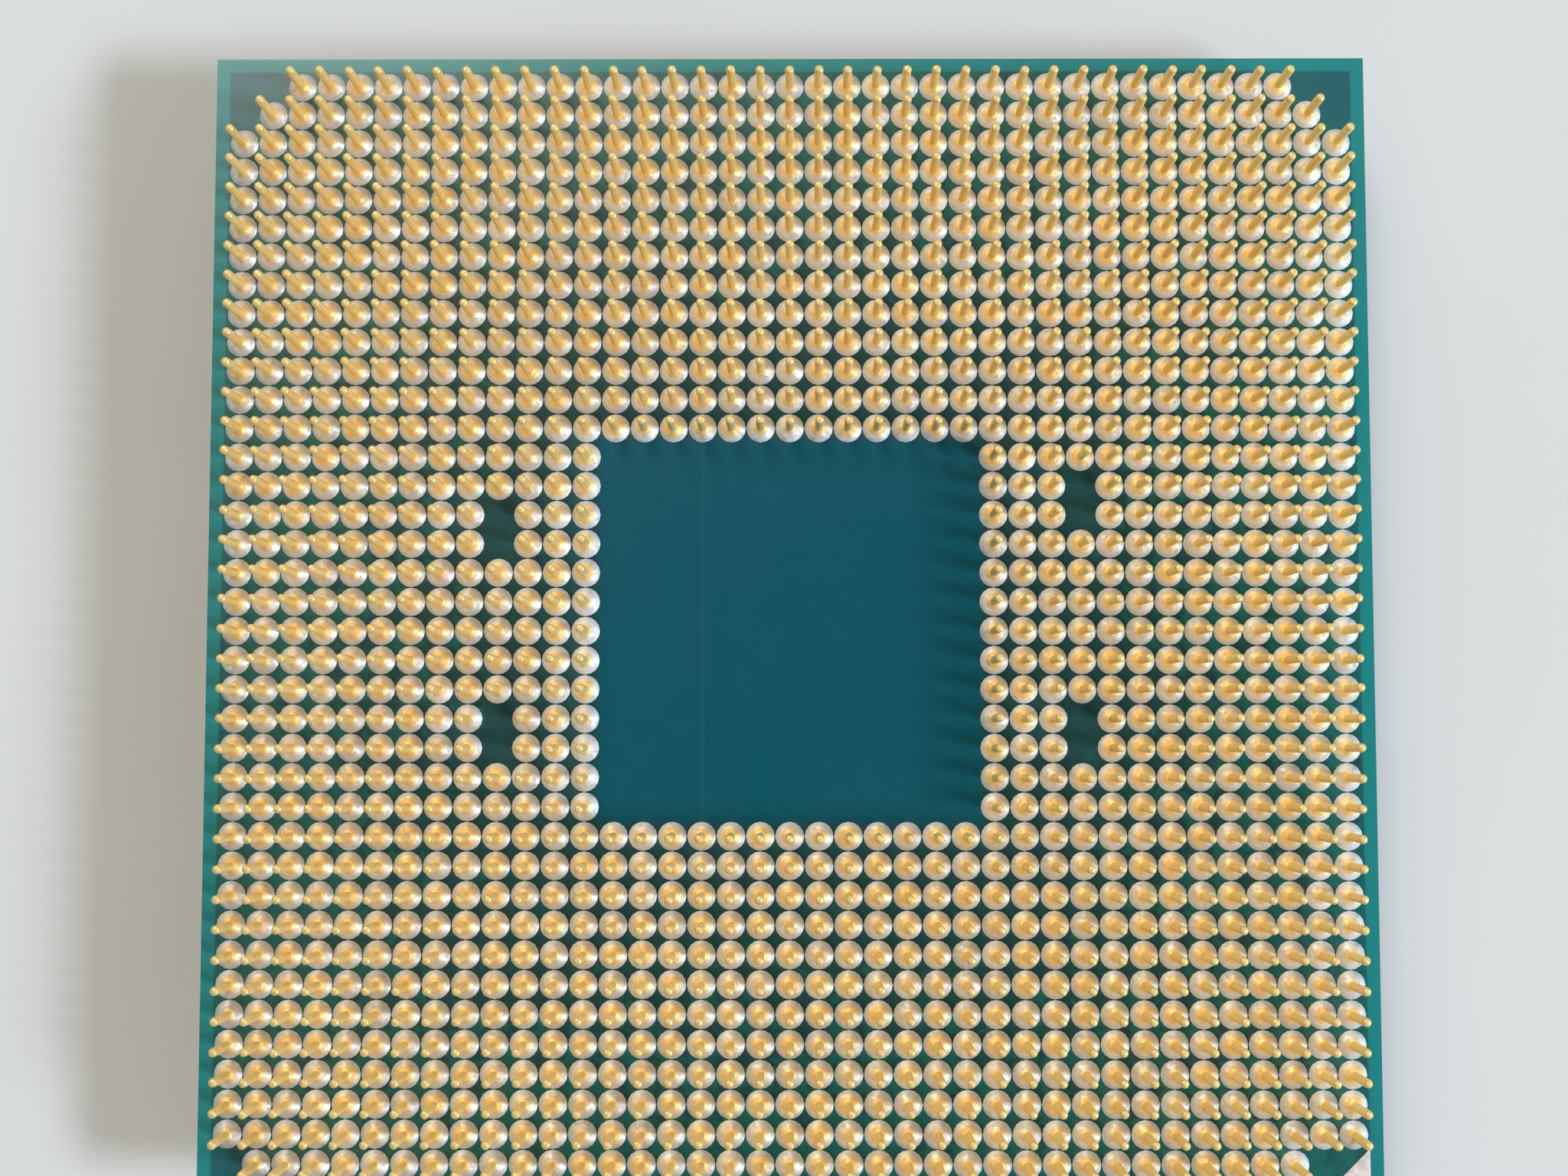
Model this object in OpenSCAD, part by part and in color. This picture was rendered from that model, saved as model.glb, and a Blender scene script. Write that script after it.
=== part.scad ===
// Desktop processor in a square pin-grid package, lying on its metal lid with the contact pins up.
// Millimetres, +Z up. The origin is the middle of the lid's outer face, which is the lowest face.
// +X and +Y run along the sides of the board, and the index corner is at +X, -Y.

/* [Pin grid] */
// Pins along one side of the full square grid
pins_per_side = 39; // [31:2:45]
// Spacing of the pins, both ways
pin_pitch = 1; // [0.98:0.01:1.3]
// Pins along one side of the bare field in the middle
bare_per_side = 13; // [7:2:15]
// Key gaps: how many pins they lie from the middle column
key_column = 10; // [9:1:14]
// Pins left out of each key gap, in one column
key_length = 2; // [1:1:3]
// Width of the empty square at the index corner, in pins
index_gap = 2; // [1:1:4]

/* [Pin] */
// Diameter of a pin's shaft
pin_d = 0.3; // [0.24:0.01:0.4]
// Height of a pin above the board
pin_h = 2; // [1.5:0.05:3]
// Bevel round a pin's tip
pin_bevel = 0.06; // [0.02:0.01:0.1]
// How far a shaft tapers in towards its foot, inside the solder
foot_taper = 0.01; // [0.005:0.005:0.04]

/* [Pin solder] */
// Diameter of a solder mound on the board
solder_d = 0.96; // [0.8:0.01:0.97]
// Height of a solder mound at the pin
solder_h = 0.25; // [0.18:0.01:0.5]
// Height of the steep rim of a mound
rim_h = 0.1; // [0.06:0.01:0.12]
// How far the rim leans in on its way up
rim_lean = 0.09; // [0.04:0.01:0.1]
// Diameter of the shoulder between the rim and the crown
shoulder_d = 0.56; // [0.5:0.02:0.6]
// Drop from the pin down to the shoulder
crown_drop = 0.07; // [0.02:0.01:0.08]

/* [Board] */
// Distance from the outermost pins to the edge of the board
edge_margin = 1; // [0.7:0.05:3]
// Thickness of the board
board_t = 1.2; // [0.8:0.05:2]
// Length of the index triangle's two short sides
mark_leg = 2.1; // [1:0.1:2.6]
// Distance from the index triangle to the edges of the board
mark_inset = 0.46; // [0.2:0.02:0.6]
// Thickness of the plated index triangles
mark_t = 0.03; // [0.02:0.005:0.05]

/* [Lid] */
// Distance from the edge of the board to the lid's flange
lid_margin = 1.2; // [0.8:0.1:2]
// Thickness of the lid over the die
lid_plate_t = 2.3; // [1.6:0.1:3.2]
// Thickness of the flange round the lid
flange_t = 1.05; // [0.6:0.05:1.4]
// Width of the step from the flange to the raised middle
flange_w = 2; // [1:0.1:3]
// Width of the foot that is bonded to the board
foot_w = 3.6; // [2.6:0.1:4.4]
// Length of each side of the cut across the flange's corners
corner_cut = 2.5; // [1:0.1:4]
// Radius of the corners of the raised middle
plate_r = 2.2; // [0.8:0.1:4]
// Bevel round the lid's outer face
plate_bevel = 0.25; // [0.1:0.05:0.5]
// Radius of the corners of the hollow under the lid
hollow_r = 1.5; // [0.5:0.1:3]

/* [Sealant] */
// Thickness of the bead between the lid and the board
sealant_t = 0.15; // [0.08:0.01:0.3]
// Width of the bead
sealant_w = 2.2; // [1:0.1:2.4]
// Distance from the edge of the flange to the bead
sealant_inset = 0.5; // [0.2:0.05:0.8]
// Width of the vent left open in the bead
vent_w = 4; // [2:0.5:8]

/* [Die] */
// Length of the die
die_l = 22; // [15:0.5:24]
// Width of the die
die_w = 9.7; // [7:0.1:12]
// Thickness of the die
die_t = 0.78; // [0.5:0.02:1]
// Thickness of the solder between the die and the lid
die_solder_t = 0.3; // [0.15:0.05:0.5]
// How far that solder stays back from the edges of the die
die_solder_inset = 0.3; // [0.1:0.05:0.8]
// Height of the layer of bumps and underfill between the die and the board
bump_h = 0.08; // [0.05:0.01:0.12]
// How far the underfill spreads past the die on the board
underfill_spread = 0.9; // [0.5:0.1:1.4]
// How far the underfill climbs the sides of the die
underfill_climb = 0.4; // [0.2:0.05:0.5]

/* [Capacitors] */
// Capacitors in each of the two rows beside the die
caps_per_row = 8; // [2:1:9]
// Distance from an end of the die to the middle of the nearest capacitor, along the row
cap_inset = 1.9; // [0.6:0.1:2]
// Gap between the underfill and a row of capacitors
cap_gap = 0.8; // [0.4:0.1:1.2]
// Length of a capacitor
cap_l = 1; // [0.8:0.1:1.3]
// Width of a capacitor
cap_w = 0.5; // [0.4:0.05:0.7]
// Height of a capacitor
cap_h = 0.5; // [0.3:0.05:0.6]
// Length of the metal cap on each end
cap_end = 0.22; // [0.15:0.01:0.3]
// Thickness of the metal on the ends
cap_metal = 0.02; // [0.01:0.005:0.04]

/* [Hidden] */
// Round shapes are drawn with this many sides
$fn = 48;
// Clearance by which a cutting shape runs past the face that it cuts
past = 1;

// Sizes across the flats, from the pin grid outwards
grid_half = (pins_per_side - 1) / 2;
board_w = (pins_per_side - 1) * pin_pitch + 2 * edge_margin;
lid_w = board_w - 2 * lid_margin;
plate_w = lid_w - 2 * flange_w;
hollow_w = lid_w - 2 * foot_w;
// Distance from the middle to the cut across a corner of the flange
corner_reach = (lid_w - corner_cut) / sqrt(2);

// Heights, from the lid's outer face up to the pins
die_solder_z = lid_plate_t;
die_z = die_solder_z + die_solder_t;
bump_z = die_z + die_t;
board_z = bump_z + bump_h;
board_top = board_z + board_t;
lid_h = board_z - sealant_t;

// Radii of the pins and their solder
pin_r = pin_d / 2;
foot_r = pin_r - foot_taper;
solder_r = solder_d / 2;

// Key gaps as [column, lowest row], counted in pins from the middle of the grid
key_gaps = [
    [-key_column, 3],
    [-key_column, -4],
    [key_column, 4],
    [key_column, -4]
];

// Blocks of pins round the bare field, as [name, column, row], counted from the bare field itself
BLOCKS = [
    ["back_left", -1, 1],
    ["back", 0, 1],
    ["back_right", 1, 1],
    ["left", -1, 0],
    ["right", 1, 0],
    ["front_left", -1, -1],
    ["front", 0, -1],
    ["front_right", 1, -1]
];

// The block that the n-th column or row of pins lies in: 0 in line with the bare field, else -1 or 1
function block_of(n) = abs(n) <= (bare_per_side - 1) / 2 ? 0 : sign(n);

// True for the three pins left out at every corner, and for the square left out at the index corner
function in_corner(i, j) =
    2 * grid_half - abs(i) - abs(j) <= 1
    || (i > grid_half - index_gap && j < index_gap - grid_half);

// True for a pin left out as a key
function in_key(i, j) =
    len([for (k = key_gaps) if (i == k[0] && j >= k[1] && j < k[1] + key_length) 1]) > 0;

// Places of one block's pins on the board's upper face
function pin_places(block) = [
    for (i = [-grid_half : grid_half])
        for (j = [-grid_half : grid_half])
            if (block_of(i) == block[1] && block_of(j) == block[2] && !in_corner(i, j) && !in_key(i, j))
                [i * pin_pitch, j * pin_pitch, board_top]
];

// Places of the capacitors: one row on each side of the die, on the board's lower face
cap_row_y = die_w / 2 + underfill_spread + cap_gap + cap_w / 2;
cap_pitch = (die_l - 2 * cap_inset) / (caps_per_row - 1);
cap_places = [
    for (side = [-1, 1])
        for (n = [0 : caps_per_row - 1])
            [(n - (caps_per_row - 1) / 2) * cap_pitch, side * cap_row_y, board_z - cap_h]
];

CAPACITORS = [for (n = [1 : len(cap_places)]) str("capacitor_", n)];
PINS = [for (block = BLOCKS) str("pins_", block[0])];
SOLDER = [for (block = BLOCKS) str("solder_", block[0])];

// A square with round corners
module rounded_square(w, r) {
    square([w, w - 2 * r], center = true);
    square([w - 2 * r, w], center = true);
    for (x = [-1, 1])
        for (y = [-1, 1])
            translate([x * (w / 2 - r), y * (w / 2 - r)])
                circle(r);
}

// One of the two crossing bars of a bevelled slab, running along Y
module bevelled_bar(w, length, t, bevel) {
    rotate([90, 0, 0])
        linear_extrude(length, center = true)
            polygon([
                [-w / 2 + bevel, 0],
                [w / 2 - bevel, 0],
                [w / 2, bevel],
                [w / 2, t],
                [-w / 2, t],
                [-w / 2, bevel]
            ]);
}

// A square slab with round corners and a bevel round its lower face
module bevelled_slab(w, r, t, bevel) {
    bevelled_bar(w, w - 2 * r, t, bevel);
    rotate(90)
        bevelled_bar(w, w - 2 * r, t, bevel);
    for (x = [-1, 1])
        for (y = [-1, 1])
            translate([x * (w / 2 - r), y * (w / 2 - r)])
                rotate_extrude()
                    polygon([[0, 0], [r - bevel, 0], [r, bevel], [r, t], [0, t]]);
}

// The flange's outline, a square with its corners cut off, drawn smaller by an inset
module flange_outline(inset) {
    intersection() {
        square(lid_w - 2 * inset, center = true);
        rotate(45)
            square(2 * (corner_reach - inset), center = true);
    }
}

// A right-angled triangle at the index corner of the board
module index_triangle() {
    corner = board_w / 2 - mark_inset;
    polygon([
        [corner, -corner],
        [corner, mark_leg - corner],
        [corner - mark_leg, -corner]
    ]);
}

// The laminated board that carries everything
module substrate() {
    color([0.09, 0.35, 0.38])
        translate([0, 0, board_z])
            linear_extrude(board_t)
                square(board_w, center = true);
}

// One pin: a tapered foot in the solder, a plain shaft and a bevelled tip
module pin() {
    rotate_extrude()
        polygon([
            [0, 0],
            [foot_r, 0],
            [pin_r, solder_h],
            [pin_r, pin_h - pin_bevel],
            [pin_r - pin_bevel, pin_h],
            [0, pin_h]
        ]);
}

// One solder mound: a steep rim, a round shoulder and a crown that meets the pin
module solder_mound() {
    rotate_extrude()
        polygon([
            [foot_r, 0],
            [solder_r, 0],
            [solder_r - rim_lean, rim_h],
            [shoulder_d / 2, solder_h - crown_drop],
            [pin_r, solder_h]
        ]);
}

// The gold-plated pins of one block
module contact_pins(block) {
    color([0.93, 0.75, 0.36])
        for (place = pin_places(block))
            translate(place)
                pin();
}

// The solder round the feet of one block's pins
module pin_solder(block) {
    color([0.80, 0.74, 0.64])
        for (place = pin_places(block))
            translate(place)
                solder_mound();
}

// The plated index triangle beside the pins
module pin_side_mark() {
    color([0.87, 0.73, 0.57])
        translate([0, 0, board_top])
            linear_extrude(mark_t)
                index_triangle();
}

// The plated index triangle beside the lid
module lid_side_mark() {
    color([0.87, 0.73, 0.45])
        translate([0, 0, board_z - mark_t])
            linear_extrude(mark_t)
                index_triangle();
}

// The stamped metal lid, hollow over the die
module heat_spreader() {
    color([0.74, 0.75, 0.77])
        difference() {
            union() {
                bevelled_slab(plate_w, plate_r, lid_h, plate_bevel);
                translate([0, 0, lid_h - flange_t])
                    linear_extrude(flange_t)
                        flange_outline(0);
            }
            translate([0, 0, lid_plate_t])
                linear_extrude(lid_h)
                    rounded_square(hollow_w, hollow_r);
        }
}

// The bead that bonds the lid to the board, open at the vent
module lid_sealant() {
    color([0.16, 0.16, 0.17])
        translate([0, 0, lid_h])
            linear_extrude(sealant_t)
                difference() {
                    flange_outline(sealant_inset);
                    rounded_square(lid_w - 2 * (sealant_inset + sealant_w), hollow_r);
                    translate([-vent_w / 2, lid_w / 2 - sealant_inset - sealant_w - past])
                        square([vent_w, sealant_w + 2 * past]);
                }
}

// The soft solder that carries heat from the die to the lid
module die_solder() {
    color([0.70, 0.71, 0.74])
        translate([0, 0, die_solder_z + die_solder_t / 2])
            cube(
                [die_l - 2 * die_solder_inset, die_w - 2 * die_solder_inset, die_solder_t],
                center = true
            );
}

// The silicon die, face towards the board
module silicon_die() {
    color([0.33, 0.34, 0.38])
        translate([0, 0, die_z + die_t / 2])
            cube([die_l, die_w, die_t], center = true);
}

// A bar along Y that is wide at the board and slopes in to the width of the die
module sloped_bar(w, length) {
    rise = bump_h + underfill_climb;
    rotate([90, 0, 0])
        linear_extrude(length, center = true)
            polygon([
                [-w / 2, -rise],
                [w / 2, -rise],
                [w / 2 + underfill_spread, 0],
                [-w / 2 - underfill_spread, 0]
            ]);
}

// The resin between the die and the board, with a sloped edge up the sides of the die
module die_underfill() {
    color([0.22, 0.20, 0.18])
        difference() {
            translate([0, 0, board_z])
                intersection() {
                    sloped_bar(die_l, die_w + 4 * underfill_spread);
                    rotate(90)
                        sloped_bar(die_w, die_l + 4 * underfill_spread);
                }
            translate([0, 0, bump_z - die_t / 2])
                cube([die_l, die_w, die_t], center = true);
        }
}

// One chip capacitor: a fired block with a metal cap on each end
module capacitor() {
    color([0.62, 0.52, 0.42])
        union() {
            translate([-cap_l / 2 + cap_metal, -cap_w / 2 + cap_metal, cap_metal])
                cube([cap_l - 2 * cap_metal, cap_w - 2 * cap_metal, cap_h - 2 * cap_metal]);
            for (x = [-cap_l / 2, cap_l / 2 - cap_end])
                translate([x, -cap_w / 2, 0])
                    cube([cap_end, cap_w, cap_h]);
        }
}

substrate();
pin_side_mark();
lid_side_mark();
heat_spreader();
lid_sealant();
die_solder();
silicon_die();
die_underfill();
for (n = [0 : len(BLOCKS) - 1])
    contact_pins(BLOCKS[n]);
for (n = [0 : len(BLOCKS) - 1])
    pin_solder(BLOCKS[n]);
for (n = [0 : len(cap_places) - 1])
    translate(cap_places[n]) capacitor();
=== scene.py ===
"""Looks of a desktop processor in a square pin-grid package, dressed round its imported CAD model.

It lies on its metal lid with the contact pins up. Lengths are metres in the CAD model's own frame.
"""
import math

import bpy
import numpy as np
from bpy.props import FloatProperty, FloatVectorProperty, IntProperty, PointerProperty
from mathutils import Matrix, Vector


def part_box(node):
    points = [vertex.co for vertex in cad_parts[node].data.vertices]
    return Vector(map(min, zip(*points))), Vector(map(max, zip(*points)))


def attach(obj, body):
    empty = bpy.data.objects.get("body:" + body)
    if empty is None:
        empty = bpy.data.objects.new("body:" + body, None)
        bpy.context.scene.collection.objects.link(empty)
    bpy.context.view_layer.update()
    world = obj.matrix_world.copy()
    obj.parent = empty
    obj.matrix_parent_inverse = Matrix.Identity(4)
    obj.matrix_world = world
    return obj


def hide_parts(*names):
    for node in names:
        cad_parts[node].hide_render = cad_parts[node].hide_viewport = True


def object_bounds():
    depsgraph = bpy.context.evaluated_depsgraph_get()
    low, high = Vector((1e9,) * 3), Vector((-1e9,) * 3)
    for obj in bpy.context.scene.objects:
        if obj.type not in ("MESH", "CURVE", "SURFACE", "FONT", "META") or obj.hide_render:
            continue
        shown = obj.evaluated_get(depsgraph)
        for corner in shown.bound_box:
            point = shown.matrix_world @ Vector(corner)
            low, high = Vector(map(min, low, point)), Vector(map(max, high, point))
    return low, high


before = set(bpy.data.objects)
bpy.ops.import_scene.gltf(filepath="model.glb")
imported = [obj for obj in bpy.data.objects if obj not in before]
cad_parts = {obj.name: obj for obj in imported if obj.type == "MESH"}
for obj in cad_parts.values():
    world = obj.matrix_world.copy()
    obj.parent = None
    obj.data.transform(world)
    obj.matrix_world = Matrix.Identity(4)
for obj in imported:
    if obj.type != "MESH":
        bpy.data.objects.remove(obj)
CAD_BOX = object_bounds()

bl_info = {
    "name": "Pin-grid processor",
    "version": (1, 0, 0),
    "blender": (4, 5, 0),
    "location": "View3D > Sidebar > Processor",
    "description": "Pins, solder, board and lid of a desktop processor, with their finishes and a stage",
    "category": "Object",
}

MM = 0.001
BODY = "root"
BAKE_MAP = "OFBake"
SEED = 39
SHARP_ANGLE = math.radians(62)

BOARD_LOW, BOARD_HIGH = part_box("substrate")
PINS_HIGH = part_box("pins_back")[1]
SOLDER_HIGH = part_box("solder_back")[1]
CAPACITORS = sorted(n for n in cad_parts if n.startswith("capacitor_"))

# Blocks of pins round the bare field, as column and row counted from the bare field
BLOCKS = {
    "back_left": (-1, 1),
    "back": (0, 1),
    "back_right": (1, 1),
    "left": (-1, 0),
    "right": (1, 0),
    "front_left": (-1, -1),
    "front": (0, -1),
    "front_right": (1, -1),
}
# Key gaps as column and lowest row, counted in pins from the middle of the grid
KEY_GAPS = ((-10, 3), (-10, -4), (10, 4), (10, -4))
# Each ring of a pin from its foot up: its reach on the bake map, and its share of the tips' darker gold,
# which is painted shade that keeps the lamps' highlights on the tips down
PIN_REACH = np.array([1.0, 0.5, 0.44, 0.34, 0.2])
PIN_TIP_SHADE = np.array([0, 0, 0.6, 1, 1])

# Radians by which the sine of thin copper on the sawn sides turns in a millimetre, and how many
# millimetres in from the sides their finish starts
PLY_TURN = 95.0
SIDE_SKIN = 0.0015
# How much the lid's brushing is squeezed along each axis, less than 1 being drawn out
BRUSHING = (0.25, 9.0, 3.0)

# Sides of the room: the way to each, and how closely a ray goes that way where it starts and is in full
WARM_SIDE = ((-0.3, 0.5, 0.8), 0.72, 0.97)
COOL_SIDE = ((1.0, -0.3, 0.22), 0.6, 0.9)
CEILING = ((0.06, -0.02, 1), 0.93, 0.982)
# Upward part of a ray where the pale band round the horizon ends and where the room is in full
HORIZON = (0.05, 0.15)


def length(name, description, default):
    """A size in metres."""
    return FloatProperty(
        name=name, description=description, default=default, min=0, precision=5,
        subtype="DISTANCE", unit="LENGTH",
    )


def share(name, description, default):
    """A number from 0 to 1."""
    return FloatProperty(
        name=name, description=description, default=default, min=0, max=1, subtype="FACTOR"
    )


def amount(name, description, default, unit="NONE"):
    """A number from 0 up."""
    return FloatProperty(name=name, description=description, default=default, min=0, unit=unit)


def angle(name, description, default):
    """An angle in radians."""
    return FloatProperty(name=name, description=description, default=default, subtype="ANGLE")


def count(name, description, default):
    """A whole number."""
    return IntProperty(name=name, description=description, default=default, min=0)


def point(name, description, default):
    """A point in metres, from the middle of the board's upper face."""
    return FloatVectorProperty(
        name=name, description=description, default=default, subtype="TRANSLATION", unit="LENGTH"
    )


def extent(name, description, default):
    """A width and a height in metres."""
    return FloatVectorProperty(
        name=name, description=description, default=default, size=2, min=0, unit="LENGTH"
    )


def colour(name, description, default):
    """A linear colour."""
    return FloatVectorProperty(
        name=name, description=description, default=(*default, 1), size=4, min=0, max=1,
        subtype="COLOR",
    )


class PinSettings(bpy.types.PropertyGroup):
    """Grid, shape and plating of the contact pins."""

    per_side: count("Pins a side", "Pins along one side of the grid", 39)
    bare_per_side: count("Bare field", "Pins left out a side", 13)
    index_gap: count("Index gap", "Pins left out at the index corner", 2)
    key_length: count("Key gap", "Pins left out of each key gap", 2)
    pitch: length("Pitch", "Spacing of the pins, both ways", 1 * MM)
    radius: length("Radius", "Radius of a shaft", 0.15 * MM)
    height: length("Height", "Height above the board", PINS_HIGH.z - BOARD_HIGH.z)
    band: length("Band", "Height of the last band of shaft, under the rounding", 0.06 * MM)
    tip_round: length("Tip", "Height of the rounding at the tip", 0.07 * MM)
    tip_radius: length("Tip flat", "Radius of the flat end of the tip", 0.075 * MM)
    tip_swell: share("Tip swell", "Swell past a straight bevel, as a share of the radius", 0.14)
    tip_bend: share("Tip bend", "Depth of the swell, as a share of the rounding's height", 0.42)
    lean: angle("Lean", "How far pins stray from upright", 0.004)
    segments: count("Sides", "Sides of a shaft", 12)
    bright: colour("Bright gold", "Plating of the brightest pins", (0.99, 0.81, 0.39))
    deep: colour("Deep gold", "Plating of the deepest pins", (0.95, 0.70, 0.27))
    # Tip gold is painted shade: the tips are made darker than the shafts so that the lamps' highlights on
    # them come out dimmer
    tip: colour("Tip gold", "Plating of the tips, dulled by handling", (0.76, 0.57, 0.23))
    metallic: share("Metallic", "How metallic the plating looks", 0.72)
    roughness: share("Roughness", "Roughness of the plating", 0.62)


class SolderSettings(bpy.types.PropertyGroup):
    """Shape and finish of the solder mounds."""

    radius: length("Radius", "Radius of a mound on the board", 0.49 * MM)
    height: length("Height", "Height of a mound at its pin", SOLDER_HIGH.z - BOARD_HIGH.z)
    contact: angle("Contact", "Angle at which a mound meets the board", math.radians(48))
    fillet: length("Fillet", "Width of the fillet up the pin", 0.07 * MM)
    segments: count("Sides", "Sides of a mound", 16)
    steps: count("Steps", "Steps up the round part of a mound", 4)
    pale: colour("Pale solder", "Solder on the outer ring", (0.81, 0.79, 0.775))
    dull: colour("Dull solder", "Solder of the dullest mounds", (0.70, 0.68, 0.67))
    gold: colour("Gold stain", "Solder next to the pin", (0.92, 0.685, 0.31))
    stain: share("Stain", "Width of the gold stain, as a share of the mound's slope", 0.36)
    roughness: share("Roughness", "Roughness of the outer ring", 0.72)
    stain_roughness: share("Stain roughness", "Roughness of the gold stain", 0.68)


class BoardSettings(bpy.types.PropertyGroup):
    """Mask and laminate of the board."""

    bare: colour("Bare field", "Mask over the bare field", (0.0027, 0.073, 0.102))
    bare_reach: length("Bare reach", "Half the width of the bare field's mask", 6.6 * MM)
    field: colour("Outer field", "Mask between the outer pins", (0.010, 0.104, 0.095))
    inner: colour("Inner field", "Mask between the inner pins", (0.013, 0.060, 0.065))
    copper_start: length("Copper start", "How far out the copper under the mask starts", 19 * MM)
    copper_full: length("Copper full", "How far out the copper under the mask is full", 8 * MM)
    corner: colour("Corners", "Mask over the copper at the corners", (0.010, 0.095, 0.110))
    corner_start: length("Corner start", "Ways along both axes to a corner's copper, added up", 36.45 * MM)
    rim: colour("Rim", "Mask past the last copper", (0.010, 0.190, 0.195))
    rim_width: length("Rim width", "Width of the band with no copper", 0.46 * MM)
    haze: colour("Haze", "Faint patches and trace over the mask", (0.25, 0.36, 0.36))
    trace_place: length("Trace", "Way from the middle to the trace, on the left", 2.98 * MM)
    trace_width: length("Trace width", "Width of the trace", 0.12 * MM)
    trace_strength: share("Trace strength", "How far the trace shows", 0.02)
    core: colour("Core", "Glass-epoxy core on the sawn sides", (0.21, 0.20, 0.105))
    core_thickness: length("Core thickness", "Thickness of the core", 0.8 * MM)
    layers: colour("Layers", "Build-up layers on the sawn sides", (0.055, 0.105, 0.075))
    copper: colour("Copper", "Thin copper between the layers on the sawn sides", (0.30, 0.16, 0.07))
    mask_thickness: length("Mask thickness", "Thickness of the mask on each face", 0.025 * MM)
    roughness: share("Roughness", "Roughness of the mask", 0.20)
    side_roughness: share("Side roughness", "Roughness of the sawn sides past the mask's", 0.35)


class LidSettings(bpy.types.PropertyGroup):
    """Finish of the lid, its sealant and the index marks."""

    nickel: colour("Nickel", "Plating of the lid", (0.62, 0.61, 0.58))
    worn: colour("Worn nickel", "Darker patches of the plating", (0.47, 0.46, 0.44))
    roughness: share("Roughness", "Roughness of the plating", 0.36)
    sealant: colour("Sealant", "Bead between the lid and the board", (0.014, 0.014, 0.015))
    mark: colour("Mark", "Plated index mark", (0.80, 0.68, 0.61))
    mark_worn: colour("Worn mark", "Darker patches of the mark", (0.68, 0.56, 0.49))


class InsideSettings(bpy.types.PropertyGroup):
    """Finishes under the lid."""

    silicon: colour("Silicon", "Polished die", (0.075, 0.080, 0.105))
    solder: colour("Die solder", "Soft solder on the die", (0.46, 0.47, 0.50))
    underfill: colour("Underfill", "Resin under the die", (0.026, 0.021, 0.017))
    ceramic: colour("Ceramic", "Middle of a capacitor", (0.30, 0.19, 0.11))
    tin: colour("Tin", "Metal ends of a capacitor", (0.62, 0.62, 0.60))
    tin_width: length("Tin width", "Length of a capacitor's metal end", 0.22 * MM)


class StageSettings(bpy.types.PropertyGroup):
    """Floor, lamps, room and camera."""

    floor: colour("Floor", "Colour of the floor", (0.62, 0.62, 0.61))
    floor_width: length("Floor width", "Width of the floor", 1.4)
    fade_start: share("Fade start", "Where the floor starts to fade, as a share of half its width", 0.3)
    fade_end: share("Fade end", "Where the floor has faded out, as a share of half its width", 0.98)
    lamp_place: point("Lamp", "Place of the warm lamp", (-0.282, 0.698, 1.01))
    lamp_size: extent("Lamp size", "Width and height of the warm lamp", (0.38, 0.62))
    lamp_power: amount("Lamp power", "Power of the warm lamp", 7.6, "POWER")
    lamp_tint: colour("Lamp tint", "Colour of the warm lamp", (1.0, 0.95, 0.83))
    window_place: point("Window", "Place of the cool window", (1.0, -0.287, 0.81))
    window_size: extent("Window size", "Width and height of the cool window", (0.36, 0.2))
    window_power: amount("Window power", "Power of the cool window", 15.6, "POWER")
    window_tint: colour("Window tint", "Colour of the cool window", (0.74, 0.86, 1.0))
    walls: colour("Walls", "Light from the walls of the room", (0.80, 0.82, 0.86))
    warm: colour("Warm side", "Light from the warm side of the room", (1.0, 0.88, 0.68))
    cool: colour("Cool side", "Light from the cool side of the room", (0.50, 0.70, 1.0))
    room_strength: amount("Room strength", "Brightness of the room", 0.34)
    warm_strength: amount("Warm strength", "Brightness of the warm side, times the room's", 2.3)
    cool_strength: amount("Cool strength", "Brightness of the cool side, times the room's", 2.2)
    ceiling_strength: amount("Ceiling strength", "Brightness of the ceiling, times the walls'", 0.05)
    background: colour("Background", "Pale band round the horizon", (0.68, 0.71, 0.72))
    camera_place: point("Camera", "Place of the camera", (0.11 * MM, -3.47 * MM, 71.93 * MM))
    camera_aim: point("Aim", "Point that the camera looks at", (-0.194 * MM, 1.476 * MM, 0))
    camera_lens: amount("Lens", "Focal length, in millimetres on a 36 mm sensor", 48.22)


class ProcessorSettings(bpy.types.PropertyGroup):
    """All the settings of the processor."""

    pins: PointerProperty(type=PinSettings)
    solder: PointerProperty(type=SolderSettings)
    board: PointerProperty(type=BoardSettings)
    lid: PointerProperty(type=LidSettings)
    inside: PointerProperty(type=InsideSettings)
    stage: PointerProperty(type=StageSettings)


# Shapes


def pin_lattice(pins):
    """Columns and rows of all the pins, counted from the middle of the grid.

    It is the full square grid, less the square of the bare field, less each place within one step of
    a corner's diagonal, less the square at the index corner and less the key gaps.
    """
    half = pins.per_side // 2
    steps = np.arange(-half, half + 1)
    i, j = (a.ravel() for a in np.meshgrid(steps, steps, indexing="ij"))
    bare = np.maximum(abs(i), abs(j)) <= pins.bare_per_side // 2
    corner = 2 * half - abs(i) - abs(j) <= 1
    index = (i > half - pins.index_gap) & (j < pins.index_gap - half)
    gaps = [(i == c) & (j >= r) & (j < r + pins.key_length) for c, r in KEY_GAPS]
    kept = ~(bare | corner | index | np.any(gaps, axis=0))
    return i[kept], j[kept]


def block_places(pins, block):
    """Columns and rows of one block's pins, counted from its first ones, and their places on the board.

    A column or a row lies in line with the bare field or to one side of it.
    """
    i, j = pin_lattice(pins)
    half = pins.bare_per_side // 2
    column, row = (np.where(abs(n) <= half, 0, np.sign(n)) for n in (i, j))
    inside = (column == BLOCKS[block][0]) & (row == BLOCKS[block][1])
    i, j = i[inside], j[inside]
    places = np.stack([i * pins.pitch, j * pins.pitch, np.full(len(i), BOARD_HIGH.z)], axis=-1)
    return np.stack([i - i.min(), j - j.min()], axis=-1), places


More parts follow.
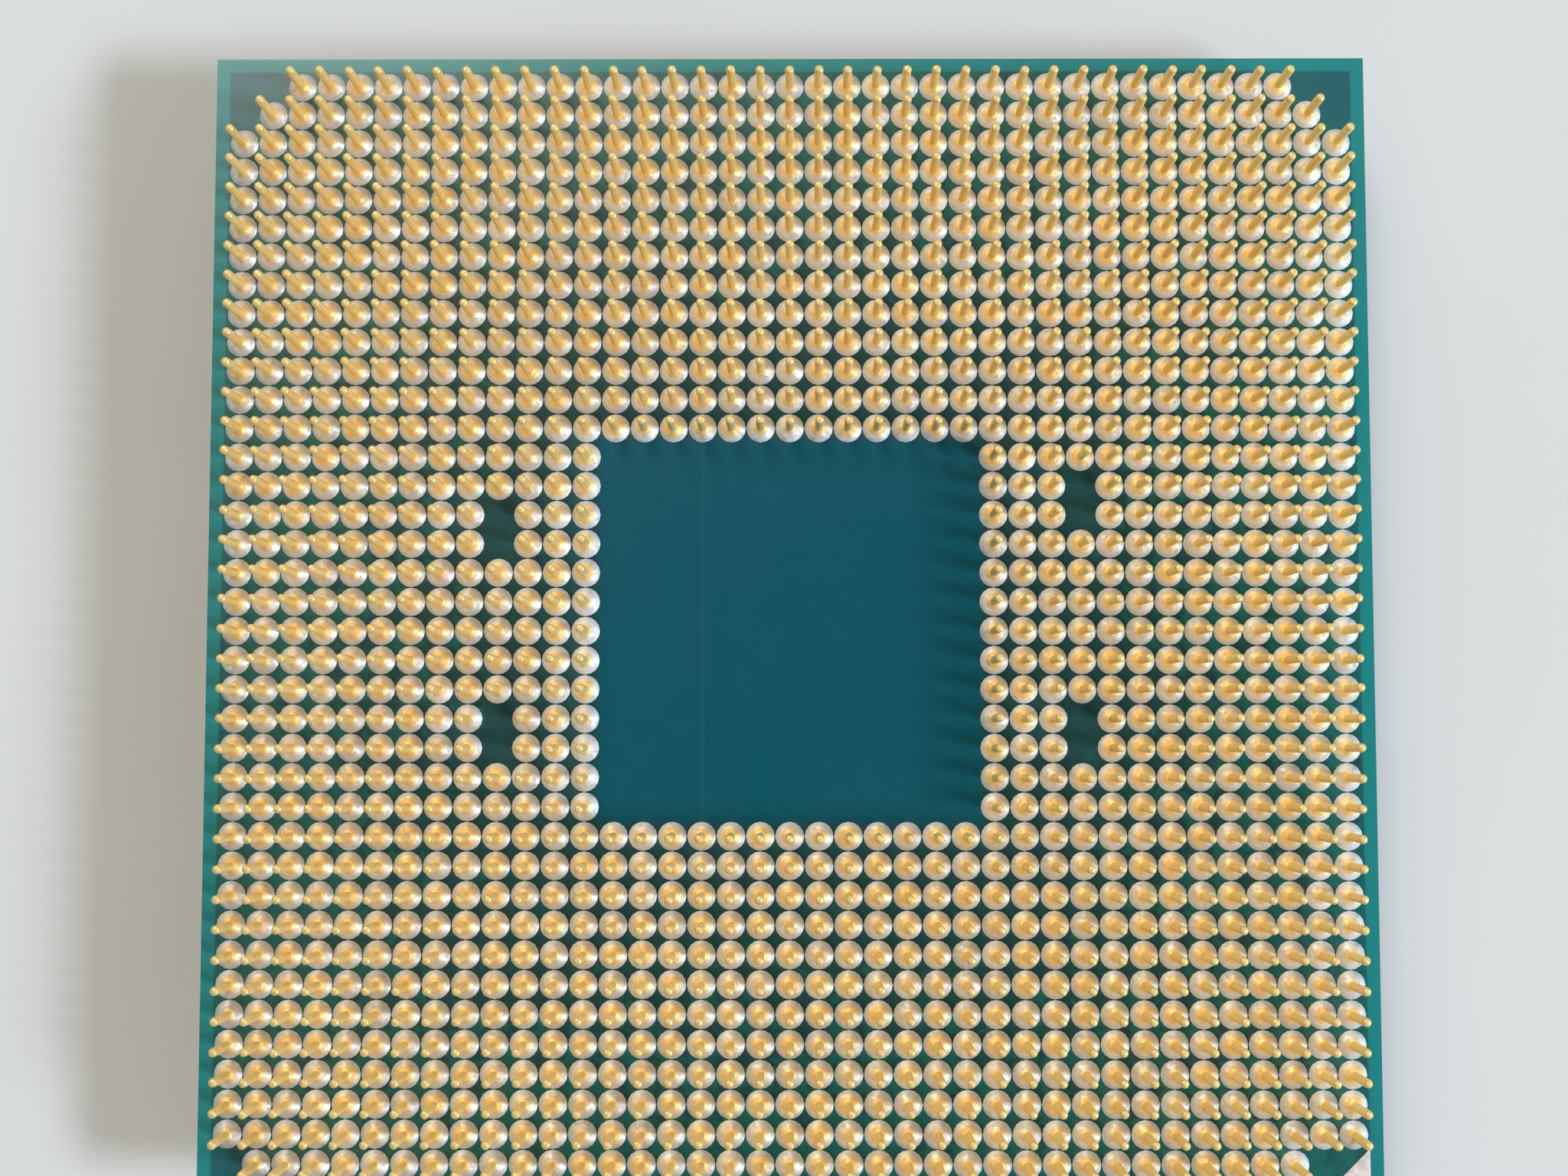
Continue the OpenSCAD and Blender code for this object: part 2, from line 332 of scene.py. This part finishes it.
def pin_profile(pins):
    """Radii and heights up the side of a pin, from its foot to the flat end of its tip.

    A straight shaft has a short last band, and from there the rounding goes in to the flat end by way
    of one ring, which swells past the middle of a straight bevel.
    """
    wall = pins.height - pins.tip_round
    swell = (pins.radius + pins.tip_radius) / 2 + pins.tip_swell * pins.radius
    bend = pins.height - pins.tip_bend * pins.tip_round
    radii = np.array([pins.radius, pins.radius, pins.radius, swell, pins.tip_radius])
    heights = np.array([0, wall - pins.band, wall, bend, pins.height])
    return radii, heights


def mound_profile(pins, solder):
    """Radii and heights up the side of a solder mound, from its rim to its pin.

    The side follows a circle that meets the board at the contact angle, and next to the pin a
    straight fillet runs up to the mound's full height.
    """
    curve = solder.radius / math.sin(solder.contact)
    start = pins.radius + solder.fillet
    turn = np.linspace(solder.contact, math.asin(start / curve), solder.steps)
    radii = curve * np.sin(turn)
    heights = curve * (np.cos(turn) - math.cos(solder.contact))
    return np.append(radii, pins.radius), np.append(heights, solder.height)


def turned_copies(radii, heights, places, segments, leans):
    """Points and faces of one turned profile, repeated at many places.

    Ring k of a copy is its place plus (radius cos a, radius sin a, height) over equal steps of a,
    shifted sideways by the copy's lean times the ring's height. Neighbouring rings are joined by
    four-sided faces, and a flat face closes each end.
    """
    copies, rings = len(places), len(radii)
    turn = np.arange(segments) * 2 * math.pi / segments
    ring = np.stack([np.cos(turn), np.sin(turn), np.zeros(segments)], axis=-1)
    profile = radii[:, None, None] * ring + heights[:, None, None] * np.array([0, 0, 1])
    shift = leans[:, None, :] * heights[None, :, None]
    points = places[:, None, None, :] + profile[None]
    points[..., :2] += shift[:, :, None, :]
    first = (np.arange(copies) * rings * segments)[:, None, None]
    low = first + np.arange(rings - 1)[None, :, None] * segments
    here = np.arange(segments)[None, None, :]
    after = (here + 1) % segments
    high = low + segments
    sides = np.stack([low + here, low + after, high + after, high + here], axis=-1)
    around = np.arange(segments)
    foot = first[:, 0, :] + around[::-1]
    top = first[:, 0, :] + (rings - 1) * segments + around
    return points.reshape(-1, 3), [sides.reshape(-1, 4), foot, top]


def turned_map(cells, reach, segments):
    """Places on the bake map for the faces of turned copies, in the order of turned_copies.

    Each copy has one square cell of a square sheet. Each ring is a circle round the cell's middle,
    with its reach as a share of the cell, and the hidden foot is a small disc in the cell's corner.
    """
    middle, widest = 0.5, 0.49
    disc_place, disc_radius = 0.96, 0.02
    cells_a_side = int(cells.max()) + 1
    turn = np.arange(segments + 1) * 2 * math.pi / segments
    circle = np.stack([np.cos(turn), np.sin(turn)], axis=-1)
    rings = cells[:, None, None, :] + middle + widest * reach[None, :, None, None] * circle
    low, high = rings[:, :-1], rings[:, 1:]
    sides = np.stack([low[:, :, :-1], low[:, :, 1:], high[:, :, 1:], high[:, :, :-1]], axis=-2)
    foot = cells[:, None, :] + disc_place + disc_radius * circle[None, -2::-1]
    return [part.reshape(-1, 2) / cells_a_side for part in (sides, foot, rings[:, -1, :-1])]


def put_mesh(name, points, faces, maps, values, material):
    """A smooth-shaded mesh at the origin from whole arrays.

    faces and maps are lists of arrays with one row a face: the corners' points, and their places on
    the bake map. values holds one number a point under each name.
    """
    mesh = bpy.data.meshes.new(name)
    mesh.vertices.add(len(points))
    mesh.vertices.foreach_set("co", points.astype(np.float32).ravel())
    corners = np.concatenate([f.ravel() for f in faces]).astype(np.int32)
    sizes = np.concatenate([np.full(len(f), f.shape[1]) for f in faces])
    mesh.loops.add(len(corners))
    mesh.loops.foreach_set("vertex_index", corners)
    mesh.polygons.add(len(sizes))
    mesh.polygons.foreach_set("loop_start", (np.cumsum(sizes) - sizes).astype(np.int32))
    mesh.polygons.foreach_set("use_smooth", np.ones(len(sizes), bool))
    mesh.update(calc_edges=True)
    if mesh.validate():
        raise ValueError(f"the mesh of {name} has bad faces")
    mesh.set_sharp_from_angle(angle=SHARP_ANGLE)
    if maps:
        layer = mesh.uv_layers.new(name=BAKE_MAP)
        layer.uv.foreach_set("vector", np.concatenate([m.ravel() for m in maps]).astype(np.float32))
    for key, numbers in values.items():
        mesh.attributes.new(key, "FLOAT", "POINT").data.foreach_set("value", numbers.astype(np.float32))
    mesh.materials.append(material)
    piece = bpy.data.objects.new(name, mesh)
    bpy.context.scene.collection.objects.link(piece)
    return piece


# Finishes


class Tree:
    """Adds nodes to one node tree and links them."""

    def __init__(self, tree):
        self.nodes, self.links = tree.nodes, tree.links

    def set(self, socket, value):
        """Links an output to a socket, or sets the socket's own value."""
        if isinstance(value, bpy.types.NodeSocket):
            self.links.new(value, socket)
        elif value is not None:
            socket.default_value = value

    def add(self, kind, inputs=(), **settings):
        """A node with its settings and its inputs, by name or by number."""
        node = self.nodes.new(kind)
        for key, value in settings.items():
            setattr(node, key, value)
        for key, value in dict(inputs).items():
            self.set(node.inputs[key], value)
        return node

    def math(self, operation, a, b=None):
        """One sum on numbers."""
        return self.add("ShaderNodeMath", {0: a, 1: b}, operation=operation).outputs[0]

    def blend(self, a, b, part):
        """Some part of b and the rest of a."""
        return self.math("ADD", self.math("MULTIPLY", a, 1 - part), self.math("MULTIPLY", b, part))

    def step(self, value, low, high, start=0.0, end=1.0):
        """Goes smoothly from start to end as a value goes from low to high."""
        inputs = {"Value": value, "From Min": low, "From Max": high, "To Min": start, "To Max": end}
        return self.add("ShaderNodeMapRange", inputs, interpolation_type="SMOOTHSTEP").outputs[0]

    def rise(self, value, middle, soft):
        """Goes smoothly from 0 to 1 as a value passes a middle, from soft before it to soft past it."""
        return self.step(value, middle - soft, middle + soft)

    def fall(self, value, middle, soft):
        """Goes smoothly from 1 to 0 as a value passes a middle, from soft before it to soft past it."""
        return self.step(value, middle + soft, middle - soft)

    def mix(self, factor, a, b):
        """Goes from colour a to colour b with a factor."""
        node = self.add("ShaderNodeMix", {0: factor, 6: a, 7: b}, data_type="RGBA")
        return node.outputs[2]

    def noise(self, vector, scale, detail):
        """Smooth noise from 0 to 1."""
        inputs = {"Vector": vector, "Scale": scale, "Detail": detail}
        return self.add("ShaderNodeTexNoise", inputs).outputs["Fac"]

    def axes(self, vector):
        """The three parts of a vector."""
        return self.add("ShaderNodeSeparateXYZ", {0: vector}).outputs

    def towards(self, vector, direction):
        """How closely a vector points in a direction, from -1 to 1."""
        inputs = {0: vector, 1: Vector(direction).normalized()}
        return self.add("ShaderNodeVectorMath", inputs, operation="DOT_PRODUCT").outputs["Value"]

    def millimetres(self):
        """The piece's own coordinates, in millimetres."""
        place = self.add("ShaderNodeTexCoord").outputs["Object"]
        return self.add("ShaderNodeMapping", {"Vector": place, "Scale": (1 / MM,) * 3}).outputs[0]

    def number(self, name):
        """A number that the piece's mesh carries."""
        return self.add("ShaderNodeAttribute", attribute_name=name).outputs["Fac"]


def mottle_group():
    """Soft patches at two scales, as a node group made once: a value from Low to High, and a height."""
    group = bpy.data.node_groups.get("mottle")
    if group is not None:
        return group
    group = bpy.data.node_groups.new("mottle", "ShaderNodeTree")
    for key, kind in {"Vector": "Vector", "Scale": "Float", "Low": "Float", "High": "Float"}.items():
        group.interface.new_socket(key, in_out="INPUT", socket_type=f"NodeSocket{kind}")
    for key in ("Value", "Height"):
        group.interface.new_socket(key, in_out="OUTPUT", socket_type="NodeSocketFloat")
    tree = Tree(group)
    given = tree.add("NodeGroupInput").outputs
    made = tree.add("NodeGroupOutput").inputs
    times_finer = 4.7
    coarse = tree.noise(given["Vector"], given["Scale"], detail=3.0)
    fine = tree.noise(given["Vector"], tree.math("MULTIPLY", given["Scale"], times_finer), detail=2.0)
    both = tree.blend(coarse, fine, part=0.35)
    tree.set(made["Value"], tree.step(both, 0.36, 0.64, given["Low"], given["High"]))
    tree.set(made["Height"], both)
    return group


def add_mottle(tree, vector, scale, low, high):
    """The shared patches, with a finish's own values."""
    inputs = {"Vector": vector, "Scale": scale, "Low": low, "High": high}
    return tree.add("ShaderNodeGroup", inputs, node_tree=mottle_group()).outputs


def add_bump(tree, shader, height, strength, depth):
    """Small relief from a height, as deep as depth in metres."""
    bump = tree.add("ShaderNodeBump", {"Height": height, "Strength": strength, "Distance": depth})
    tree.set(shader.inputs["Normal"], bump.outputs[0])


def new_finish(name, metallic):
    """A material, its node tree and its shader."""
    material = bpy.data.materials.new(name)
    material.use_nodes = True
    tree = Tree(material.node_tree)
    shader = tree.nodes["Principled BSDF"]
    shader.inputs["Metallic"].default_value = metallic
    return material, tree, shader


def scaled(base, factor):
    """A colour made darker or brighter by a factor."""
    return (*(c * factor for c in base[:3]), 1)


def gold_finish(pins):
    """Gold plating: a pin's tone lies between two golds, its tip is darker as painted shade that keeps the
    lamps' highlights there down, and gloss varies in patches.
    """
    material, tree, shader = new_finish("gold_plating", pins.metallic)
    place = tree.millimetres()
    patches = add_mottle(tree, place, scale=3.0, low=-0.15, high=0.15)["Value"]
    tone = tree.math("ADD", tree.number("tone"), patches)
    shaft = tree.mix(tone, pins.deep, pins.bright)
    # Painted shade: towards the tip the gold goes over to the darker tip gold, so the lamps' highlights on
    # the tips come out dimmer
    tree.set(shader.inputs["Base Color"], tree.mix(tree.number("tip"), shaft, pins.tip))
    gloss = add_mottle(tree, place, scale=6.0, low=pins.roughness * 0.75, high=pins.roughness * 1.3)
    tree.set(shader.inputs["Roughness"], gloss["Value"])
    add_bump(tree, shader, gloss["Height"], strength=0.1, depth=0.004 * MM)
    return material


def solder_finish(solder):
    """Bright solder: a gold stain next to the pin fades into a pale ring, and mounds differ a little."""
    material, tree, shader = new_finish("bright_solder", 1.0)
    place = tree.millimetres()
    patches = add_mottle(tree, place, scale=2.6, low=-0.06, high=0.06)["Value"]
    slope = tree.math("ADD", tree.number("slope"), patches)
    silver = tree.mix(tree.number("tone"), solder.dull, solder.pale)
    width = tree.step(tree.number("stain"), 0, 1, solder.stain * 0.5, solder.stain * 1.5)
    start, end = (tree.math("MULTIPLY", width, n) for n in (0.7, 1.5))
    clear = tree.step(slope, start, end)
    tree.set(shader.inputs["Base Color"], tree.mix(clear, solder.gold, silver))
    gloss = add_mottle(tree, place, scale=5.0, low=0.75, high=1.3)
    rough = tree.step(clear, 0, 1, solder.stain_roughness, solder.roughness)
    tree.set(shader.inputs["Roughness"], tree.math("MULTIPLY", rough, gloss["Value"]))
    add_bump(tree, shader, gloss["Height"], strength=0.3, depth=0.012 * MM)
    return material


def mask_colour(tree, board, place, out):
    """Mask on the board's faces, laid out by how far out from the middle a place is, in millimetres.

    From the edge inwards it goes from a pale rim with no copper under it through the field of pins,
    where patches of copper darken it more and more, to the bare field and its faint trace. Each corner
    but the index corner has copper of its own.
    """
    x, y, _ = tree.axes(place)
    patches = add_mottle(tree, place, scale=0.9, low=-0.5, high=0.5)["Value"]
    copper = tree.math("ADD", tree.step(out, board.copper_start / MM, board.copper_full / MM), patches)
    mask = tree.mix(tree.step(copper, 0.25, 0.6), board.field, board.inner)
    across = tree.math("ADD", tree.math("ABSOLUTE", x), tree.math("ABSOLUTE", y))
    corners = tree.rise(across, board.corner_start / MM, soft=0.15)
    index = tree.rise(tree.math("SUBTRACT", x, y), board.corner_start / MM, soft=0.15)
    mask = tree.mix(tree.math("SUBTRACT", corners, index), mask, board.corner)
    bare = tree.fall(out, board.bare_reach / MM, soft=0.15)
    mask = tree.mix(bare, mask, board.bare)
    rim = tree.rise(out, (BOARD_HIGH.x - board.rim_width) / MM, soft=0.05)
    mask = tree.mix(rim, mask, board.rim)
    haze = add_mottle(tree, place, scale=0.1, low=0.0, high=0.006)["Value"]
    from_trace = tree.math("ABSOLUTE", tree.math("ADD", x, board.trace_place / MM))
    trace = tree.math("MULTIPLY", tree.fall(from_trace, board.trace_width / 2 / MM, soft=0.03), bare)
    lighter = tree.math("ADD", haze, tree.math("MULTIPLY", trace, board.trace_strength))
    return tree.mix(lighter, mask, board.haze)


def side_colour(tree, board, place):
    """Layers on the board's sawn sides, laid out by distance from the middle of its thickness.

    A patchy core lies in the middle, thin copper lies at the crests of a sine through the layers on
    each side of it, and the mask closes both faces.
    """
    half = (BOARD_HIGH.z - BOARD_LOW.z) / 2 / MM
    height = tree.math("SUBTRACT", tree.axes(place)[2], BOARD_LOW.z / MM)
    away = tree.math("ABSOLUTE", tree.math("SUBTRACT", height, half))
    weave = add_mottle(tree, place, scale=2.2, low=0.75, high=1.15)["Value"]
    core = tree.mix(weave, board.layers, board.core)
    crests = tree.math("SINE", tree.math("MULTIPLY", away, PLY_TURN))
    layers = tree.mix(tree.step(crests, 0.55, 0.95), board.layers, board.copper)
    side = tree.mix(tree.rise(away, board.core_thickness / 2 / MM, soft=0.01), core, layers)
    return tree.mix(tree.rise(away, half - board.mask_thickness / MM, soft=0.005), side, board.rim)


def mask_finish(board):
    """Board: glossy mask on its faces and duller layers on its sawn sides."""
    material, tree, shader = new_finish("board_mask", 0.0)
    place = tree.millimetres()
    x, y, _ = tree.axes(place)
    out = tree.math("MAXIMUM", tree.math("ABSOLUTE", x), tree.math("ABSOLUTE", y))
    on_side = tree.rise(out, BOARD_HIGH.x / MM - SIDE_SKIN, soft=SIDE_SKIN / 3)
    mask = mask_colour(tree, board, place, out)
    side = side_colour(tree, board, place)
    tree.set(shader.inputs["Base Color"], tree.mix(on_side, mask, side))
    gloss = add_mottle(tree, place, scale=1.6, low=board.roughness * 0.95, high=board.roughness * 1.05)
    duller = tree.math("MULTIPLY", on_side, board.side_roughness)
    tree.set(shader.inputs["Roughness"], tree.math("ADD", gloss["Value"], duller))
    add_bump(tree, shader, gloss["Height"], strength=0.03, depth=0.01 * MM)
    return material


def nickel_finish(lid):
    """Nickel plating on a stamped lid: satin, with darker patches and fine brushing along X."""
    material, tree, shader = new_finish("satin_nickel", 1.0)
    place = tree.millimetres()
    patches = add_mottle(tree, place, scale=0.35, low=0.0, high=1.0)["Value"]
    drawn_out = tree.add("ShaderNodeMapping", {"Vector": place, "Scale": BRUSHING}).outputs[0]
    brushed = tree.step(tree.noise(drawn_out, scale=2.4, detail=4.0), 0.3, 0.7)
    tone = tree.blend(patches, brushed, part=0.4)
    tree.set(shader.inputs["Base Color"], tree.mix(tone, lid.worn, lid.nickel))
    gloss = tree.step(brushed, 0.0, 1.0, lid.roughness * 0.8, lid.roughness * 1.25)
    tree.set(shader.inputs["Roughness"], gloss)
    add_bump(tree, shader, brushed, strength=0.15, depth=0.006 * MM)
    return material


def plain_finish(name, base, other, metallic, roughness, scale, depth):
    """Two colours in soft patches, with gloss and relief to match."""
    material, tree, shader = new_finish(name, metallic)
    patches = add_mottle(tree, tree.millimetres(), scale, low=0.0, high=1.0)
    tree.set(shader.inputs["Base Color"], tree.mix(patches["Value"], other, base))
    gloss = tree.step(patches["Value"], 0, 1, roughness * 0.85, roughness * 1.15)
    tree.set(shader.inputs["Roughness"], gloss)
    add_bump(tree, shader, patches["Height"], strength=0.4, depth=depth)
    return material


def floor_finish(stage):
    """Pale, dull floor in faint patches, faded out at its edge so that a low view has no horizon."""
    floor = plain_finish(
        "pale_floor", stage.floor, scaled(stage.floor, 0.97), metallic=0.0, roughness=0.8,
        scale=0.02, depth=0.01 * MM,
    )
    tree = Tree(floor.node_tree)
    shader = tree.nodes["Principled BSDF"]
    shader.inputs["Specular IOR Level"].default_value = 0.0
    place = tree.add("ShaderNodeTexCoord").outputs["Object"]
    away = tree.add("ShaderNodeVectorMath", {0: place}, operation="LENGTH").outputs["Value"]
    reach = stage.floor_width / 2
    tree.set(shader.inputs["Alpha"], tree.step(away, reach * stage.fade_end, reach * stage.fade_start))
    return floor


def capacitor_finish(inside):
    """Capacitors: a fired block between two tinned ends, told apart by distance along their row."""
    material, tree, shader = new_finish("chip_capacitor", 0.0)
    place = tree.millimetres()
    low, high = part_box("capacitor_1")
    pitch = (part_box("capacitor_2")[0].x - low.x) / MM
    slack = 0.001
    start = low.x / MM - slack
    size = (high.x - low.x) / MM + 2 * slack
    along = tree.math("FLOORED_MODULO", tree.math("SUBTRACT", tree.axes(place)[0], start), pitch)
    from_end = tree.math("MINIMUM", along, tree.math("SUBTRACT", size, along))
    end = tree.fall(from_end, inside.tin_width / MM + 0.01, soft=0.01)
    patches = add_mottle(tree, place, scale=3.0, low=0.7, high=1.0)["Value"]
    block = tree.mix(patches, scaled(inside.ceramic, 0.6), inside.ceramic)
    tin = tree.mix(patches, scaled(inside.tin, 0.7), inside.tin)
    tree.set(shader.inputs["Base Color"], tree.mix(end, block, tin))
    tree.set(shader.inputs["Metallic"], end)
    tree.set(shader.inputs["Roughness"], tree.step(end, 0, 1, 0.55, 0.35))
    return material


def give_finish(material, *nodes):
    """Puts a material on CAD nodes."""
    for name in nodes:
        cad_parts[name].material_slots[0].material = material


# Operators


class PROCESSOR_OT_pins(bpy.types.Operator):
    """Turned, gold-plated pins with rounded tips, one piece for each block."""

    bl_idname = "processor.pins"
    bl_label = "Contact pins"

    def execute(self, context):
        pins = context.scene.processor.pins
        material = gold_finish(pins)
        draw = np.random.default_rng(SEED)
        radii, heights = pin_profile(pins)
        for block in BLOCKS:
            cells, places = block_places(pins, block)
            leans = draw.normal(0, pins.lean, (len(places), 2))
            points, faces = turned_copies(radii, heights, places, pins.segments, leans)
            values = {
                "tone": np.repeat(draw.beta(2, 2, len(places)), len(radii) * pins.segments),
                # The tip share carries the painted shade that darkens the tips
                "tip": np.tile(np.repeat(PIN_TIP_SHADE, pins.segments), len(places)),
            }
            maps = turned_map(cells, PIN_REACH, pins.segments)
            piece = put_mesh(f"gold_pins_{block}", points, faces, maps, values, material)
            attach(piece, BODY)
            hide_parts(f"pins_{block}")
        return {"FINISHED"}


class PROCESSOR_OT_solder(bpy.types.Operator):
    """Round solder mounds, one piece for each block."""

    bl_idname = "processor.solder"
    bl_label = "Solder mounds"

    def execute(self, context):
        pins, solder = context.scene.processor.pins, context.scene.processor.solder
        material = solder_finish(solder)
        draw = np.random.default_rng(SEED + 1)
        radii, heights = mound_profile(pins, solder)
        slope = (radii - pins.radius) / (solder.radius - pins.radius)
        reach = radii / solder.radius
        for block in BLOCKS:
            cells, places = block_places(pins, block)
            upright = np.zeros((len(places), 2))
            points, faces = turned_copies(radii, heights, places, solder.segments, upright)
            values = {
                "tone": np.repeat(draw.beta(2, 2, len(places)), len(radii) * solder.segments),
                "stain": np.repeat(draw.beta(2, 2, len(places)), len(radii) * solder.segments),
                "slope": np.tile(np.repeat(slope, solder.segments), len(places)),
            }
            maps = turned_map(cells, reach, solder.segments)
            piece = put_mesh(f"solder_mounds_{block}", points, faces, maps, values, material)
            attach(piece, BODY)
            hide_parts(f"solder_{block}")
        return {"FINISHED"}


class PROCESSOR_OT_board(bpy.types.Operator):
    """Mask and laminate on the board, and plating on its two index marks."""

    bl_idname = "processor.board"
    bl_label = "Board and marks"

    def execute(self, context):
        board, lid = context.scene.processor.board, context.scene.processor.lid
        mark = plain_finish(
            "mark_plating", lid.mark, lid.mark_worn, metallic=0.85, roughness=0.55, scale=1.4,
            depth=0.004 * MM,
        )
        give_finish(mask_finish(board), "substrate")
        give_finish(mark, "pin_side_mark", "lid_side_mark")
        return {"FINISHED"}


class PROCESSOR_OT_lid(bpy.types.Operator):
    """Satin nickel on the lid, and rubbery sealant under its flange."""

    bl_idname = "processor.lid"
    bl_label = "Lid and sealant"

    def execute(self, context):
        lid = context.scene.processor.lid
        sealant = plain_finish(
            "sealant_bead", lid.sealant, scaled(lid.sealant, 2.2), metallic=0.0, roughness=0.55,
            scale=1.1, depth=0.03 * MM,
        )
        give_finish(nickel_finish(lid), "heat_spreader")
        give_finish(sealant, "lid_sealant")
        return {"FINISHED"}


class PROCESSOR_OT_inside(bpy.types.Operator):
    """Finishes of the die, its solder and underfill, and the capacitors."""

    bl_idname = "processor.inside"
    bl_label = "Under the lid"

    def execute(self, context):
        inside = context.scene.processor.inside
        die = plain_finish(
            "polished_silicon", inside.silicon, scaled(inside.silicon, 0.7), metallic=0.3,
            roughness=0.16, scale=0.5, depth=0.001 * MM,
        )
        solder = plain_finish(
            "die_solder", inside.solder, scaled(inside.solder, 0.75), metallic=1.0,
            roughness=0.48, scale=1.6, depth=0.01 * MM,
        )
        resin = plain_finish(
            "underfill_resin", inside.underfill, scaled(inside.underfill, 1.7), metallic=0.0,
            roughness=0.5, scale=1.2, depth=0.01 * MM,
        )
        give_finish(die, "silicon_die")
        give_finish(solder, "die_solder")
        give_finish(resin, "die_underfill")
        give_finish(capacitor_finish(inside), *CAPACITORS)
        return {"FINISHED"}


class PROCESSOR_OT_stage(bpy.types.Operator):
    """A pale floor, a warm lamp, a cool window, a soft room and the camera at the photograph's angle."""

    bl_idname = "processor.stage"
    bl_label = "Stage"

    def execute(self, context):
        scene, stage = context.scene, context.scene.processor.stage
        top = Vector((0, 0, BOARD_HIGH.z))
        scene.view_settings.view_transform = "Standard"
        self.floor(stage)
        self.room(scene, stage)
        self.lamp("warm_lamp", top, stage.lamp_place, stage.lamp_size, stage.lamp_power, stage.lamp_tint)
        self.lamp(
            "cool_window", top, stage.window_place, stage.window_size, stage.window_power, stage.window_tint
        )
        self.camera(scene, stage, top)
        return {"FINISHED"}

    def floor(self, stage):
        """A flat square under the lid: both parameters run along its sides."""
        squares = 8
        row = squares + 1
        steps = np.linspace(-0.5, 0.5, row) * stage.floor_width
        x, y = np.meshgrid(steps, steps, indexing="ij")
        points = np.stack([x, y, np.full(x.shape, CAD_BOX[0].z)], axis=-1).reshape(-1, 3)
        corner = (np.arange(squares)[:, None] * row + np.arange(squares)[None, :]).ravel()
        faces = np.stack([corner, corner + row, corner + row + 1, corner + 1], axis=-1)
        put_mesh("floor", points, [faces], [], {}, floor_finish(stage))

    def room(self, scene, stage):
        """Soft light from all round: a pale band at the horizon, a warm and a cool side, a dim ceiling."""
        world = bpy.data.worlds.new("room")
        scene.world = world
        world.use_nodes = True
        tree = Tree(world.node_tree)
        back = tree.nodes["Background"]
        sight = tree.add("ShaderNodeTexCoord").outputs["Generated"]
        light = stage.walls
        for (way, start, full), tint in (
            (WARM_SIDE, scaled(stage.warm, stage.warm_strength)),
            (COOL_SIDE, scaled(stage.cool, stage.cool_strength)),
            (CEILING, scaled(stage.walls, stage.ceiling_strength)),
        ):
            light = tree.mix(tree.step(tree.towards(sight, way), start, full), light, tint)
        horizon = scaled(stage.background, 1 / stage.room_strength)
        above = tree.step(tree.axes(sight)[2], *HORIZON)
        tree.set(back.inputs["Color"], tree.mix(above, horizon, light))
        tree.set(back.inputs["Strength"], stage.room_strength)

    def lamp(self, name, top, place, size, power, tint):
        """A soft rectangular lamp that faces the object."""
        light = bpy.data.lights.new(name, "AREA")
        light.shape = "RECTANGLE"
        light.size, light.size_y = size
        light.energy = power
        light.color = tint[:3]
        lamp = bpy.data.objects.new(name, light)
        lamp.location = top + Vector(place)
        lamp.rotation_euler = (-Vector(place)).to_track_quat("-Z", "Y").to_euler()
        bpy.context.scene.collection.objects.link(lamp)

    def camera(self, scene, stage, top):
        """The photograph's camera, almost straight above, with the board's +Y side up in the frame."""
        camera = bpy.data.cameras.new("camera")
        camera.lens = stage.camera_lens
        camera.clip_start = 1 * MM
        eye = bpy.data.objects.new("camera", camera)
        back = (Vector(stage.camera_place) - Vector(stage.camera_aim)).normalized()
        right = Vector((0, 1, 0)).cross(back).normalized()
        turned = Matrix((right, back.cross(right), back)).transposed()
        eye.matrix_world = Matrix.Translation(top + Vector(stage.camera_place)) @ turned.to_4x4()
        scene.collection.objects.link(eye)
        scene.camera = eye


class PROCESSOR_PT_sidebar(bpy.types.Panel):
    """Lists the settings and the operators."""

    bl_idname = "PROCESSOR_PT_sidebar"
    bl_label = "Processor"
    bl_space_type = "VIEW_3D"
    bl_region_type = "UI"
    bl_category = "Processor"

    def draw(self, context):
        settings = context.scene.processor
        for operator, group in STEPS:
            box = self.layout.box()
            box.operator(operator.bl_idname)
            values = getattr(settings, group)
            for key in values.__annotations__:
                box.prop(values, key)


STEPS = (
    (PROCESSOR_OT_stage, "stage"),
    (PROCESSOR_OT_board, "board"),
    (PROCESSOR_OT_solder, "solder"),
    (PROCESSOR_OT_pins, "pins"),
    (PROCESSOR_OT_lid, "lid"),
    (PROCESSOR_OT_inside, "inside"),
)
GROUPS = (
    PinSettings,
    SolderSettings,
    BoardSettings,
    LidSettings,
    InsideSettings,
    StageSettings,
    ProcessorSettings,
)
CLASSES = (*GROUPS, *(operator for operator, _ in STEPS), PROCESSOR_PT_sidebar)


def register():
    for item in CLASSES:
        bpy.utils.register_class(item)
    bpy.types.Scene.processor = PointerProperty(type=ProcessorSettings)


def unregister():
    del bpy.types.Scene.processor
    for item in reversed(CLASSES):
        bpy.utils.unregister_class(item)


def main():
    """Makes every piece in order."""
    register()
    bpy.ops.processor.stage()
    bpy.ops.processor.board()
    bpy.ops.processor.solder()
    bpy.ops.processor.pins()
    bpy.ops.processor.lid()
    bpy.ops.processor.inside()


if __name__ == "__main__":
    main()
